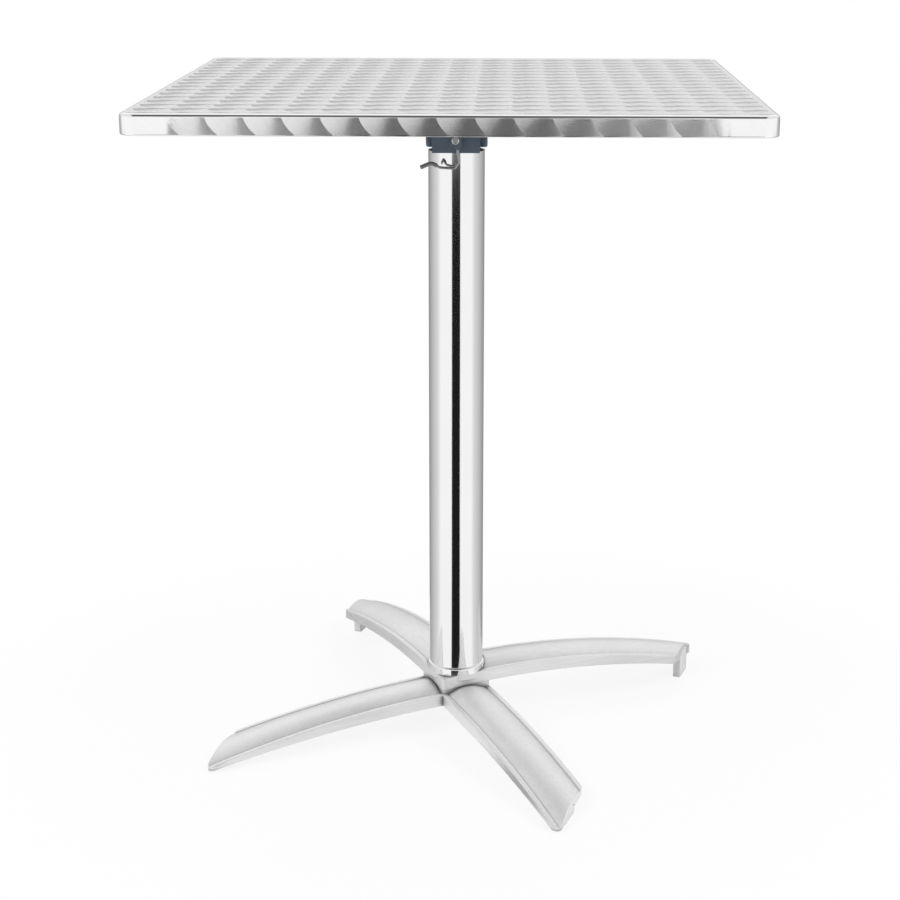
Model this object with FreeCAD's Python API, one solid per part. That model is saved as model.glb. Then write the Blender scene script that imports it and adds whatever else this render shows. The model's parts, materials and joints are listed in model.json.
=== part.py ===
import FreeCAD, Part
import math
import os
from FreeCAD import Vector

# A square flip-top bistro table: a swirl-finished stainless steel pan top on a dark flip head, one
# polished aluminium column, and two V-shaped cast feet stacked so that tables nest.
# Millimetres. The origin is on the floor under the column axis, +Z is up and the release lever faces -Y.

# Table top
TABLE_HEIGHT = 720.0
TOP_WIDTH = 600.0
TOP_DEPTH = 600.0
TOP_THICKNESS = 20.0
TOP_CORNER_RADIUS = 15.0
TOP_EDGE_RADIUS = 3.5
LIP_BEND_RADIUS = 1.5
LIP_WIDTH = 12.0
SHEET_THICKNESS = 1.0
BACKING_THICKNESS = 1.0
BOARD_CLEARANCE = 0.2

# Flip bracket under the top
PLATE_WIDTH = 130.0
PLATE_DEPTH = 100.0
PLATE_CORNER_RADIUS = 10.0
PLATE_THICKNESS = 3.0
PLATE_SCREW_INSET = 12.0
EAR_THICKNESS = 7.5
EAR_END_RADIUS = 10.0
EAR_EDGE_RADIUS = 2.5
EAR_ROOT_WIDTH = 36.0
EAR_GAP = 0.3

# Wood screws that hold the bracket
BRACKET_SCREW_DIAMETER = 4.2
BRACKET_SCREW_REACH = 13.0
BRACKET_SCREW_HEAD_DIAMETER = 8.5
BRACKET_SCREW_HEAD_HEIGHT = 2.6

# Pivot of the top
PIVOT_BACK = 12.0
PIVOT_DROP = 40.0
PIVOT_DIAMETER = 8.0
PIVOT_HEAD_DIAMETER = 13.0
PIVOT_HEAD_HEIGHT = 3.2
PIVOT_HEAD_ROUND = 2.0
PIVOT_HEAD_RECESS = 3.5
PIVOT_WASHER_DIAMETER = 16.0
PIVOT_WASHER_THICKNESS = 1.0
PIVOT_NUT_ACROSS_FLATS = 13.0
PIVOT_NUT_HEIGHT = 4.0
PIVOT_NUT_RECESS = 5.5
PIVOT_RECESS_CLEARANCE = 0.3
PIVOT_BOLT_TAIL = 0.4
BUSH_WALL = 2.0

# Column head
HEAD_WIDTH = 50.0
HEAD_DROP = 51.0
HEAD_FRONT_ROUND = 12.0
CHEEK_THICKNESS = 6.0
FRONT_WALL_THICKNESS = 5.0
FRONT_WALL_HEIGHT = 24.0
HEAD_FLOOR = 6.0
HEAD_TAIL_LIFT = 8.0
PLUG_DEPTH = 25.0
PLUG_CLEARANCE = 0.15
NUT_SEAT_THICKNESS = 8.0
NUT_WELL_CLEARANCE = 2.0
STOP_GAP = 0.2
BUFFER_DIAMETER = 4.0
BUFFER_DEPTH = 4.0
BUFFER_STAND = 1.5
BUFFER_PITCH = 16.0

# Keeper and latch
LATCH_PIVOT_RISE = 14.5
LATCH_BOSS_DIAMETER = 7.0
LATCH_GAP = 0.2
PAWL_THICKNESS = 4.0
PAWL_EYE_RADIUS = 5.5
PAWL_WIDTH = 8.0
PAWL_TOP_GAP = 8.0
PAWL_TAIL = 10.0
PAWL_CORNER_RADIUS = 1.5
PAWL_SHOULDER_RADIUS = 3.0
TOE_THICKNESS = 4.0
TOE_DROP = 3.0
TOE_CLEARANCE = 0.4
KEEPER_EDGE = 7.0
KEEPER_WIDTH = 11.0
KEEPER_THICKNESS = 3.0
KEEPER_FLANGE = 17.0
KEEPER_BELOW_NOTCH = 4.2
KEEPER_NOTCH_DEPTH = 5.0
KEEPER_NOTCH_SLACK = 0.8
KEEPER_SCREW_DIAMETER = 4.0
KEEPER_SCREW_HEAD_DIAMETER = 7.0
KEEPER_SCREW_HEAD_HEIGHT = 2.4
KEEPER_SCREW_PITCH = 8.0
KEEPER_SCREW_INSET = 4.5

# Latch screw
LATCH_SHOULDER_DIAMETER = 5.9
LATCH_THREAD_DIAMETER = 5.0
LATCH_SCREW_HEAD_DIAMETER = 8.0
LATCH_SCREW_HEAD_HEIGHT = 3.0
LATCH_SCREW_HEAD_ROUND = 1.0
LATCH_SOCKET_ACROSS_FLATS = 4.0
LATCH_SOCKET_DEPTH = 2.0

# Release lever, a bent wire; its corners are across and below the latch pivot
LEVER_DIAMETER = 2.8
LEVER_SOCKET_DEPTH = 5.0
LEVER_OFFSET = 2.2
LEVER_NECK = 3.0
LEVER_NECK_RADIUS = 5.0
LEVER_BENDS = (
    ((4.0, -21.5), 4.0),
    ((-1.0, -29.6), 3.5),
    ((-16.5, -28.6), 8.0),
    ((-25.0, -23.6), 8.0),
)
LEVER_END = (-35.5, -28.2)
SLEEVE_WALL = 0.7
SLEEVE_START = 3.5
SLEEVE_CAP = 1.2

# Return spring round the latch boss
SPRING_WIRE = 1.0
SPRING_BOSS_GAP = 0.4
SPRING_FULL_TURNS = 2
SPRING_PITCH = 1.45
SPRING_WALL_GAP = 0.45
SPRING_END_GAP = 0.225
SPRING_ANCHOR_DROP = 7.0
SPRING_ANCHOR_DEPTH = 3.0
SPRING_ANCHOR_CLEARANCE = 0.4
SPRING_ANCHOR_BEND = 1.5
SPRING_LEG_RUN = 5.0
SPRING_LEG_BEND_RADIUS = 1.5
SPRING_TIP_DROP = 7.8
SPRING_TIP_GAP = 0.2
SPRING_TIP_INSET = 1.0
SPRING_CHECK_POINTS = 9

# Column
COLUMN_DIAMETER = 60.0
COLUMN_WALL = 2.0
COLLAR_OVERHANG = 2.4
COLLAR_HEIGHT = 8.3
COLLAR_ROUND = 2.3
SPIGOT_HEIGHT = 25.0

# Tie rod through the column
ROD_DIAMETER = 10.0
ROD_HOLE_CLEARANCE = 0.5
ROD_NUT_ACROSS_FLATS = 17.0
ROD_NUT_HEIGHT = 8.0
ROD_WASHER_DIAMETER = 22.0
ROD_WASHER_THICKNESS = 2.0
ROD_TAIL = 3.0

# Feet castings
BASE_TURN = -19.0
LEG_ANGLE = 45.0
LEG_WIDTH = 60.0
LEG_CROWN = 6.0
LEG_LIP = 5.0
LEG_GROOVE_WIDTH = 1.5
LEG_GROOVE_DEPTH = 1.0
LEG_LIP_ROUND = 1.5
LEG_ROOF = 4.0
LEG_WALL = 4.5
LEG_POINT_RADIUS = 6.0
LEG_TIP_RADIUS = 9.0
LEG_SIDE_AT_HUB = 13.5
HUB_CORNER_RADIUS = 5.0
HUB_INSET = 0.5
HUB_GAP = 0.2
UPPER_REACH = 214.0
UPPER_CREST = 55.0
UPPER_CREST_HEIGHT = 64.4
UPPER_TIP_HEIGHT = 31.4
UPPER_TIP_SIDE = 9.3
UPPER_HUB_TOP = 62.5
LOWER_REACH = 200.0
LOWER_CREST = 0.0
LOWER_CREST_HEIGHT = 43.2
LOWER_TIP_HEIGHT = 11.2
LOWER_TIP_SIDE = 5.8
LOWER_HUB_TOP = 44.0
LOWER_HUB_BOTTOM = 31.0
DOWEL_DIAMETER = 6.0
DOWEL_LENGTH = 16.0
DOWEL_SPACING = 36.0

# Push-in feet
FOOT_THICKNESS = 8.0
FOOT_RECESS = 0.5
FOOT_RIB = 4.5
FOOT_WIDTH = 34.0
FOOT_TOP_WIDTH = 16.0
FOOT_BOTTOM_WIDTH = 32.0
FOOT_CORNER_RADIUS = 3.0
FOOT_SHOULDER_DROP = 3.0
FOOT_TOP_RISE = 2.0
FOOT_STUD_DIAMETER = 4.0
FOOT_STUD_LENGTH = 3.5
FOOT_STUD_DROP = 1.0

# Fits shared by the whole table
FIT_CLEARANCE = 0.05
OVERCUT = 1.0
TOUCH = 1e-4

# Levels and places that follow from the sizes above
SKIRT_LOW = TABLE_HEIGHT - TOP_THICKNESS
UNDERSIDE = SKIRT_LOW + SHEET_THICKNESS
PLATE_LOW = UNDERSIDE - PLATE_THICKNESS
COLUMN_TOP = UNDERSIDE - HEAD_DROP
PIVOT_Z = UNDERSIDE - PIVOT_DROP
STOP_RADIUS = PLATE_LOW - PIVOT_Z - STOP_GAP
CHEEK_RADIUS = STOP_RADIUS - BUFFER_STAND
EAR_INSIDE = HEAD_WIDTH / 2 + EAR_GAP
EAR_OUTSIDE = EAR_INSIDE + EAR_THICKNESS
PIVOT_HEAD_SEAT = PIVOT_HEAD_RECESS - EAR_OUTSIDE
PIVOT_NUT_SEAT = EAR_OUTSIDE - PIVOT_NUT_RECESS
HEAD_FRONT = -COLUMN_DIAMETER / 2
LATCH_Z = COLUMN_TOP + LATCH_PIVOT_RISE
SPRING_TURNS = SPRING_FULL_TURNS + 0.5
SPRING_COIL_RADIUS = LATCH_BOSS_DIAMETER / 2 + SPRING_BOSS_GAP + SPRING_WIRE / 2
SPRING_LENGTH = SPRING_TURNS * SPRING_PITCH + SPRING_WIRE
BOSS_FRONT = HEAD_FRONT - SPRING_WALL_GAP - SPRING_LENGTH - SPRING_END_GAP
PAWL_BACK = BOSS_FRONT - LATCH_GAP
PAWL_FRONT = PAWL_BACK - PAWL_THICKNESS
PAWL_MIDDLE = (PAWL_BACK + PAWL_FRONT) / 2
PAWL_TOP = PLATE_LOW - PAWL_TOP_GAP
TOE_TOP = PAWL_TOP - TOE_DROP
TOE_LOW = TOE_TOP - TOE_THICKNESS
KEEPER_LOW = TOE_LOW - KEEPER_NOTCH_SLACK - KEEPER_BELOW_NOTCH
COLLAR_TOP = UPPER_HUB_TOP + COLLAR_HEIGHT
COLLAR_RADIUS = COLUMN_DIAMETER / 2 + COLLAR_OVERHANG
COLLAR_SEAT_RADIUS = COLLAR_RADIUS + HUB_GAP
CHANNEL_START = max(LEG_WIDTH / 2 + HUB_GAP, COLLAR_SEAT_RADIUS) + LEG_WALL
FOOT_SEAT = -FOOT_RECESS - FOOT_THICKNESS
PLUG_RADIUS = COLUMN_DIAMETER / 2 - COLUMN_WALL - PLUG_CLEARANCE
PLUG_LOW = COLUMN_TOP - PLUG_DEPTH
NUT_SEAT = PLUG_LOW + NUT_SEAT_THICKNESS
ROD_HOLE_RADIUS = ROD_DIAMETER / 2 + ROD_HOLE_CLEARANCE
NUT_WELL_RADIUS = ROD_WASHER_DIAMETER / 2 + NUT_WELL_CLEARANCE


def plan(across, away):
    return Vector(across, away, 0)


def front(across, up):
    return Vector(across, 0, up)


def side(away, up):
    return Vector(0, away, up)


def corner_arc(before, corner, after, radius):
    """Start, middle and end of the arc that rounds one corner of a path."""
    back = (before - corner).normalize()
    ahead = (after - corner).normalize()
    half = back.getAngle(ahead) / 2
    reach = radius / math.tan(half)
    inward = (back + ahead).normalize()
    middle = corner + inward * (radius / math.sin(half) - radius)
    return corner + back * reach, middle, corner + ahead * reach


def route(corners, closed=False):
    """Edges of a path through (point, radius) corners: straight runs joined by tangent arcs."""
    bends = []
    for index, (corner, radius) in enumerate(corners):
        before = corners[index - 1][0]
        after = corners[(index + 1) % len(corners)][0]
        if radius:
            bends.append(corner_arc(before, corner, after, radius))
        else:
            bends.append((corner, None, corner))
    edges = []
    for index, (start, middle, end) in enumerate(bends):
        if middle:
            edges.append(Part.Arc(start, middle, end).toShape())
        if index + 1 == len(bends) and not closed:
            break
        ahead = bends[(index + 1) % len(bends)][0]
        if end.distanceToPoint(ahead) > TOUCH:
            edges.append(Part.makeLine(end, ahead))
    return edges


def prism(corners, view, low, high):
    """Solid with a flat rounded outline in one view, from low to high along the line of sight."""
    outline = [(view(*point), radius) for point, radius in corners]
    sight = {plan: Vector(0, 0, 1), front: Vector(0, 1, 0), side: Vector(1, 0, 0)}[view]
    face = Part.Face(Part.Wire(route(outline, closed=True)))
    face.translate(sight * low)
    return face.extrude(sight * (high - low))


def drum(radius, low, high, centre=(0.0, 0.0), view=plan):
    """Cylinder seen end on in one view, from low to high along the line of sight."""
    sight = {plan: Vector(0, 0, 1), front: Vector(0, 1, 0), side: Vector(1, 0, 0)}[view]
    return Part.makeCylinder(radius, high - low, view(*centre) + sight * low, sight)


def hexagon(across_flats, low, high, centre=(0.0, 0.0), view=plan):
    """Hexagonal bar seen end on in one view."""
    reach = across_flats / math.sqrt(3)
    corners = []
    for step in range(6):
        turn = math.radians(60 * step)
        point = (centre[0] + reach * math.cos(turn), centre[1] + reach * math.sin(turn))
        corners.append((point, 0.0))
    return prism(corners, view, low, high)


def upright_edges(shape):
    return [edge for edge in shape.Edges if abs(edge.Vertexes[0].Z - edge.Vertexes[-1].Z) > TOUCH]


def level_edges(shape, level):
    return [edge for edge in shape.Edges if all(abs(v.Z - level) < TOUCH for v in edge.Vertexes)]


def slab(width, depth, corner_radius, low, high):
    """Level slab with rounded plan corners, centred on the column axis."""
    block = Part.makeBox(width, depth, high - low, Vector(-width / 2, -depth / 2, low))
    return block.makeFillet(corner_radius, upright_edges(block))


def pan_filling(inset, low, high, round_top):
    """Slab that follows the inside of the steel pan at an inset from its outside."""
    filling = slab(TOP_WIDTH - 2 * inset, TOP_DEPTH - 2 * inset, TOP_CORNER_RADIUS - inset, low, high)
    if round_top:
        filling = filling.makeFillet(TOP_EDGE_RADIUS - SHEET_THICKNESS, level_edges(filling, high))
    return filling


def plate_screw_places():
    across = PLATE_WIDTH / 2 - PLATE_SCREW_INSET
    away = PLATE_DEPTH / 2 - PLATE_SCREW_INSET
    return [(x, y) for x in (-across, across) for y in (-away, away)]


def make_top_sheet():
    """Steel pan: face, rounded edge, skirt and the lip that folds under the board."""
    skin = slab(TOP_WIDTH, TOP_DEPTH, TOP_CORNER_RADIUS, SKIRT_LOW, TABLE_HEIGHT)
    skin = skin.makeFillet(TOP_EDGE_RADIUS, level_edges(skin, TABLE_HEIGHT))
    skin = skin.makeFillet(LIP_BEND_RADIUS, level_edges(skin, SKIRT_LOW))
    inside = pan_filling(SHEET_THICKNESS, UNDERSIDE, TABLE_HEIGHT - SHEET_THICKNESS, True)
    mouth = slab(TOP_WIDTH - 2 * LIP_WIDTH, TOP_DEPTH - 2 * LIP_WIDTH, TOP_CORNER_RADIUS,
                 SKIRT_LOW - OVERCUT, UNDERSIDE + OVERCUT)
    return skin.cut([inside, mouth])


def screw_pilots(radius):
    low = UNDERSIDE - OVERCUT
    high = UNDERSIDE + BRACKET_SCREW_REACH + FIT_CLEARANCE
    return [drum(radius, low, high, place) for place in plate_screw_places()]


def make_top_core():
    """Board that fills the pan, drilled for the bracket screws."""
    inset = SHEET_THICKNESS + BOARD_CLEARANCE
    board = pan_filling(inset, UNDERSIDE + BACKING_THICKNESS, TABLE_HEIGHT - SHEET_THICKNESS, True)
    return board.cut(screw_pilots(BRACKET_SCREW_DIAMETER / 2 + FIT_CLEARANCE))


def make_top_underside():
    """Backing sheet that closes the board from below, held by the lip."""
    inset = SHEET_THICKNESS + BOARD_CLEARANCE
    sheet = pan_filling(inset, UNDERSIDE, UNDERSIDE + BACKING_THICKNESS, False)
    return sheet.cut(screw_pilots(BRACKET_SCREW_DIAMETER / 2 + FIT_CLEARANCE))


def make_flip_bracket():
    """Plate screwed under the top, with an ear on each side of the column head."""
    bracket = slab(PLATE_WIDTH, PLATE_DEPTH, PLATE_CORNER_RADIUS, PLATE_LOW, UNDERSIDE)
    root = EAR_ROOT_WIDTH / 2
    ear = [
        ((PIVOT_BACK - root, PLATE_LOW + PLATE_THICKNESS / 2), 0.0),
        ((PIVOT_BACK - EAR_END_RADIUS, PIVOT_Z), 0.0),
        ((PIVOT_BACK - EAR_END_RADIUS, PIVOT_Z - EAR_END_RADIUS), EAR_END_RADIUS),
        ((PIVOT_BACK + EAR_END_RADIUS, PIVOT_Z - EAR_END_RADIUS), EAR_END_RADIUS),
        ((PIVOT_BACK + EAR_END_RADIUS, PIVOT_Z), 0.0),
        ((PIVOT_BACK + root, PLATE_LOW + PLATE_THICKNESS / 2), 0.0),
    ]
    right_ear = prism(ear, side, EAR_INSIDE, EAR_OUTSIDE)
    outer = [edge for edge in right_ear.Edges if edge.BoundBox.XMin > EAR_OUTSIDE - TOUCH]
    below = [edge for edge in outer if edge.BoundBox.ZMin < PLATE_LOW]
    right_ear = right_ear.makeFillet(EAR_EDGE_RADIUS, below)
    bracket = bracket.fuse([right_ear, right_ear.mirror(Vector(0, 0, 0), Vector(1, 0, 0))])
    centre = (PIVOT_BACK, PIVOT_Z)
    head_well = PIVOT_HEAD_DIAMETER / 2 + PIVOT_RECESS_CLEARANCE
    nut_well = PIVOT_WASHER_DIAMETER / 2 + PIVOT_RECESS_CLEARANCE
    holes = [
        pivot_hole(-EAR_OUTSIDE, EAR_OUTSIDE),
        drum(head_well, -EAR_OUTSIDE - OVERCUT, PIVOT_HEAD_SEAT, centre, side),
        drum(nut_well, PIVOT_NUT_SEAT, EAR_OUTSIDE + OVERCUT, centre, side),
    ]
    for place in plate_screw_places():
        radius = BRACKET_SCREW_DIAMETER / 2 + FIT_CLEARANCE
        holes.append(drum(radius, PLATE_LOW - OVERCUT, UNDERSIDE + OVERCUT, place))
    for place in keeper_screw_places():
        radius = KEEPER_SCREW_DIAMETER / 2 + FIT_CLEARANCE
        holes.append(drum(radius, PLATE_LOW - OVERCUT, UNDERSIDE + OVERCUT, place))
    return bracket.cut(holes).removeSplitter()


def make_bracket_screws():
    """Pan-head wood screws that hold the bracket to the board."""
    screws = []
    for place in plate_screw_places():
        shank = drum(BRACKET_SCREW_DIAMETER / 2, PLATE_LOW, UNDERSIDE + BRACKET_SCREW_REACH, place)
        low = PLATE_LOW - BRACKET_SCREW_HEAD_HEIGHT
        head = drum(BRACKET_SCREW_HEAD_DIAMETER / 2, low, PLATE_LOW, place)
        head = head.makeFillet(BRACKET_SCREW_HEAD_HEIGHT / 2, level_edges(head, low))
        screws.append(head.fuse(shank))
    return Part.makeCompound(screws)


def make_pivot_bolt():
    """Low-headed bolt that carries the top; head and nut lie in recesses of the ears."""
    start = PIVOT_HEAD_SEAT
    end = PIVOT_NUT_SEAT + PIVOT_WASHER_THICKNESS + PIVOT_NUT_HEIGHT + PIVOT_BOLT_TAIL
    centre = (PIVOT_BACK, PIVOT_Z)
    shank = drum(PIVOT_DIAMETER / 2, start, end, centre, side)
    head = drum(PIVOT_HEAD_DIAMETER / 2, start - PIVOT_HEAD_HEIGHT, start, centre, side)
    rim = [edge for edge in head.Edges if edge.BoundBox.XMax < start - PIVOT_HEAD_HEIGHT + TOUCH]
    head = head.makeFillet(PIVOT_HEAD_ROUND, rim)
    return shank.fuse(head)


def pivot_hole(low, high):
    """Clearance for the pivot bolt across the table."""
    radius = PIVOT_DIAMETER / 2 + FIT_CLEARANCE
    return drum(radius, low - OVERCUT, high + OVERCUT, (PIVOT_BACK, PIVOT_Z), side)


def make_pivot_washer():
    centre = (PIVOT_BACK, PIVOT_Z)
    low = PIVOT_NUT_SEAT
    high = low + PIVOT_WASHER_THICKNESS
    disc = drum(PIVOT_WASHER_DIAMETER / 2, low, high, centre, side)
    return disc.cut(pivot_hole(low, high))


def make_pivot_nut():
    centre = (PIVOT_BACK, PIVOT_Z)
    low = PIVOT_NUT_SEAT + PIVOT_WASHER_THICKNESS
    high = low + PIVOT_NUT_HEIGHT
    block = hexagon(PIVOT_NUT_ACROSS_FLATS, low, high, centre, side)
    return block.cut(pivot_hole(low, high))


def bush_radius():
    return PIVOT_DIAMETER / 2 + FIT_CLEARANCE + BUSH_WALL


def make_pivot_bushes():
    """Plain nylon bushes in the cheeks of the head."""
    bushes = []
    centre = (PIVOT_BACK, PIVOT_Z)
    for low in (-HEAD_WIDTH / 2, HEAD_WIDTH / 2 - CHEEK_THICKNESS):
        high = low + CHEEK_THICKNESS
        ring = drum(bush_radius(), low, high, centre, side)
        bushes.append(ring.cut(pivot_hole(low, high)))
    return Part.makeCompound(bushes)


def cheek_outline():
    """Side view of the head: flat top stop, quarter-round back and flat rear stop."""
    rear = PIVOT_BACK + CHEEK_RADIUS
    top = PIVOT_Z + CHEEK_RADIUS
    return [
        ((HEAD_FRONT, COLUMN_TOP), 0.0),
        ((-HEAD_FRONT, COLUMN_TOP), 0.0),
        ((rear, COLUMN_TOP + HEAD_TAIL_LIFT), 0.0),
        ((rear, top), CHEEK_RADIUS),
        ((HEAD_FRONT, top), HEAD_FRONT_ROUND),
    ]


def buffer_places():
    across = HEAD_WIDTH / 2 - CHEEK_THICKNESS / 2
    away = BUFFER_PITCH / 2
    return [(x, y) for x in (-across, across) for y in (-away, away)]


def head_box(depth, height):
    """Box across the whole head, on the column top, from the front face backwards."""
    return Part.makeBox(HEAD_WIDTH, depth, height, Vector(-HEAD_WIDTH / 2, HEAD_FRONT, COLUMN_TOP))


def make_column_head():
    """Cast head: plug in the tube, two cheeks, a low front wall and a boss for the latch."""
    half = HEAD_WIDTH / 2
    latch = (0.0, LATCH_Z)
    outline = cheek_outline()
    head = drum(PLUG_RADIUS, PLUG_LOW, COLUMN_TOP).fuse([
        prism(outline, side, -half, CHEEK_THICKNESS - half),
        prism(outline, side, half - CHEEK_THICKNESS, half),
        head_box(-2 * HEAD_FRONT, HEAD_FLOOR),
        head_box(FRONT_WALL_THICKNESS, FRONT_WALL_HEIGHT),
        drum(LATCH_BOSS_DIAMETER / 2, BOSS_FRONT, HEAD_FRONT + OVERCUT, latch, front),
    ])
    thread = LATCH_THREAD_DIAMETER / 2 + FIT_CLEARANCE
    wire = SPRING_WIRE / 2 + SPRING_ANCHOR_CLEARANCE
    wall_back = HEAD_FRONT + FRONT_WALL_THICKNESS
    anchor_end = HEAD_FRONT + SPRING_ANCHOR_DEPTH + FIT_CLEARANCE
    bush_hole = bush_radius() + FIT_CLEARANCE
    cuts = [
        drum(ROD_HOLE_RADIUS, PLUG_LOW - OVERCUT, NUT_SEAT + OVERCUT),
        drum(NUT_WELL_RADIUS, NUT_SEAT, COLUMN_TOP + HEAD_FLOOR + OVERCUT),
        drum(bush_hole, -half - OVERCUT, half + OVERCUT, (PIVOT_BACK, PIVOT_Z), side),
        drum(thread, BOSS_FRONT - OVERCUT, wall_back + OVERCUT, latch, front),
        drum(wire, HEAD_FRONT - OVERCUT, anchor_end, spring_anchor(), front),
    ]
    top = PIVOT_Z + CHEEK_RADIUS
    for place in buffer_places():
        cuts.append(drum(BUFFER_DIAMETER / 2 + FIT_CLEARANCE, top - BUFFER_DEPTH, top + OVERCUT, place))
    return head.cut(cuts).removeSplitter()


def make_stop_buffers():
    """Rubber studs in the cheek tops that the plate comes down on."""
    top = PIVOT_Z + CHEEK_RADIUS
    studs = []
    for place in buffer_places():
        stud = drum(BUFFER_DIAMETER / 2, top - BUFFER_DEPTH, top + BUFFER_STAND, place)
        studs.append(stud.makeFillet(BUFFER_STAND / 2, level_edges(stud, top + BUFFER_STAND)))
    return Part.makeCompound(studs)


def keeper_screw_places():
    across = -KEEPER_EDGE - KEEPER_WIDTH / 2
    first = PAWL_MIDDLE + KEEPER_THICKNESS / 2 + KEEPER_SCREW_INSET
    return [(across, first), (across, first + KEEPER_SCREW_PITCH)]


def make_keeper():
    """Angle plate under the bracket; its notch takes the toe of the latch."""
    left = -KEEPER_EDGE - KEEPER_WIDTH
    face = PAWL_MIDDLE - KEEPER_THICKNESS / 2
    ledge = PLATE_LOW - KEEPER_THICKNESS
    depth = KEEPER_THICKNESS + KEEPER_FLANGE
    flange = Part.makeBox(KEEPER_WIDTH, depth, KEEPER_THICKNESS, Vector(left, face, ledge))
    hang = PLATE_LOW - KEEPER_LOW
    tab = Part.makeBox(KEEPER_WIDTH, KEEPER_THICKNESS, hang, Vector(left, face, KEEPER_LOW))
    notch_low = TOE_LOW - KEEPER_NOTCH_SLACK
    notch_height = TOE_THICKNESS + 2 * KEEPER_NOTCH_SLACK
    corner = Vector(-KEEPER_EDGE - KEEPER_NOTCH_DEPTH, face - OVERCUT, notch_low)
    cuts = [Part.makeBox(
        KEEPER_NOTCH_DEPTH + OVERCUT, KEEPER_THICKNESS + 2 * OVERCUT, notch_height, corner)]
    for place in keeper_screw_places():
        radius = KEEPER_SCREW_DIAMETER / 2 + FIT_CLEARANCE
        cuts.append(drum(radius, ledge - OVERCUT, PLATE_LOW + OVERCUT, place))
    return flange.fuse(tab).cut(cuts).removeSplitter()


def make_keeper_screws():
    """Machine screws that hold the keeper to the bracket plate."""
    screws = []
    seat = PLATE_LOW - KEEPER_THICKNESS
    for place in keeper_screw_places():
        shank = drum(KEEPER_SCREW_DIAMETER / 2, seat, UNDERSIDE, place)
        low = seat - KEEPER_SCREW_HEAD_HEIGHT
        head = drum(KEEPER_SCREW_HEAD_DIAMETER / 2, low, seat, place)
        head = head.makeFillet(KEEPER_SCREW_HEAD_HEIGHT / 2, level_edges(head, low))
        screws.append(head.fuse(shank))
    return Part.makeCompound(screws)


def make_latch_pawl():
    """Latch plate on the boss: a toe above, an eye for the screw and a socket for the lever below."""
    left = LEVER_OFFSET - PAWL_WIDTH / 2
    right = LEVER_OFFSET + PAWL_WIDTH / 2
    low = LATCH_Z - PAWL_TAIL
    toe_tip = TOE_CLEARANCE - KEEPER_EDGE
    outline = [
        ((left, low), PAWL_CORNER_RADIUS),
        ((right, low), PAWL_CORNER_RADIUS),
        ((right, PAWL_TOP), PAWL_SHOULDER_RADIUS),
        ((left, PAWL_TOP), PAWL_CORNER_RADIUS),
        ((left, TOE_TOP), 0.0),
        ((toe_tip, TOE_TOP), 0.0),
        ((toe_tip, TOE_LOW), 0.0),
        ((left, TOE_LOW), 0.0),
    ]
    pawl = prism(outline, front, PAWL_FRONT, PAWL_BACK)
    pawl = pawl.fuse(drum(PAWL_EYE_RADIUS, PAWL_FRONT, PAWL_BACK, (0.0, LATCH_Z), front))
    shoulder = LATCH_SHOULDER_DIAMETER / 2 + FIT_CLEARANCE
    eye = drum(shoulder, PAWL_FRONT - OVERCUT, PAWL_BACK + OVERCUT, (0.0, LATCH_Z), front)
    wire = LEVER_DIAMETER / 2 + FIT_CLEARANCE
    socket = drum(wire, low - OVERCUT, low + LEVER_SOCKET_DEPTH, (LEVER_OFFSET, PAWL_MIDDLE))
    return pawl.cut([eye, socket]).removeSplitter()


def latch_point(across, rise, away):
    return Vector(across, away, LATCH_Z + rise)


def lever_corners():
    """Corners of the bent wire, from its socket in the latch plate to its free end."""
    top = LEVER_SOCKET_DEPTH - PAWL_TAIL - FIT_CLEARANCE
    corners = [
        (latch_point(LEVER_OFFSET, top, PAWL_MIDDLE), 0.0),
        (latch_point(LEVER_OFFSET, -PAWL_TAIL - LEVER_NECK, PAWL_MIDDLE), LEVER_NECK_RADIUS),
    ]
    for place, radius in LEVER_BENDS:
        corners.append((latch_point(*place, PAWL_MIDDLE), radius))
    corners.append((latch_point(*LEVER_END, PAWL_MIDDLE), 0.0))
    return corners


def tube_along(edges, radius):
    """Round bar of one radius along a chain of edges."""
    first = edges[0]
    start = first.valueAt(first.FirstParameter)
    way = first.tangentAt(first.FirstParameter)
    section = Part.Wire(Part.Circle(start, way, radius).toShape())
    return Part.Wire(edges).makePipeShell([section], True, False)


def make_release_lever():
    """Bent wire handle that swings the latch plate."""
    return tube_along(route(lever_corners()), LEVER_DIAMETER / 2)


def make_lever_sleeve():
    """Moulded sleeve drawn over the last bend and the free end of the lever."""
    before, hump, end = [corner for corner, radius in lever_corners()[-3:]]
    bend = LEVER_BENDS[-1][1]
    run = (hump - before).normalize()
    way = (end - hump).normalize()
    start = before + run * SLEEVE_START
    cap = end + way * SLEEVE_CAP
    bore = LEVER_DIAMETER / 2 + FIT_CLEARANCE
    body = tube_along(route([(start, 0.0), (hump, bend), (cap, 0.0)]), bore + SLEEVE_WALL)
    tip = max(body.Edges, key=lambda edge: (edge.CenterOfMass - hump).dot(way))
    body = body.makeFillet(SLEEVE_WALL, [tip])
    return body.cut(tube_along(route([(start - run * OVERCUT, 0.0), (hump, bend), (end, 0.0)]), bore))


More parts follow.
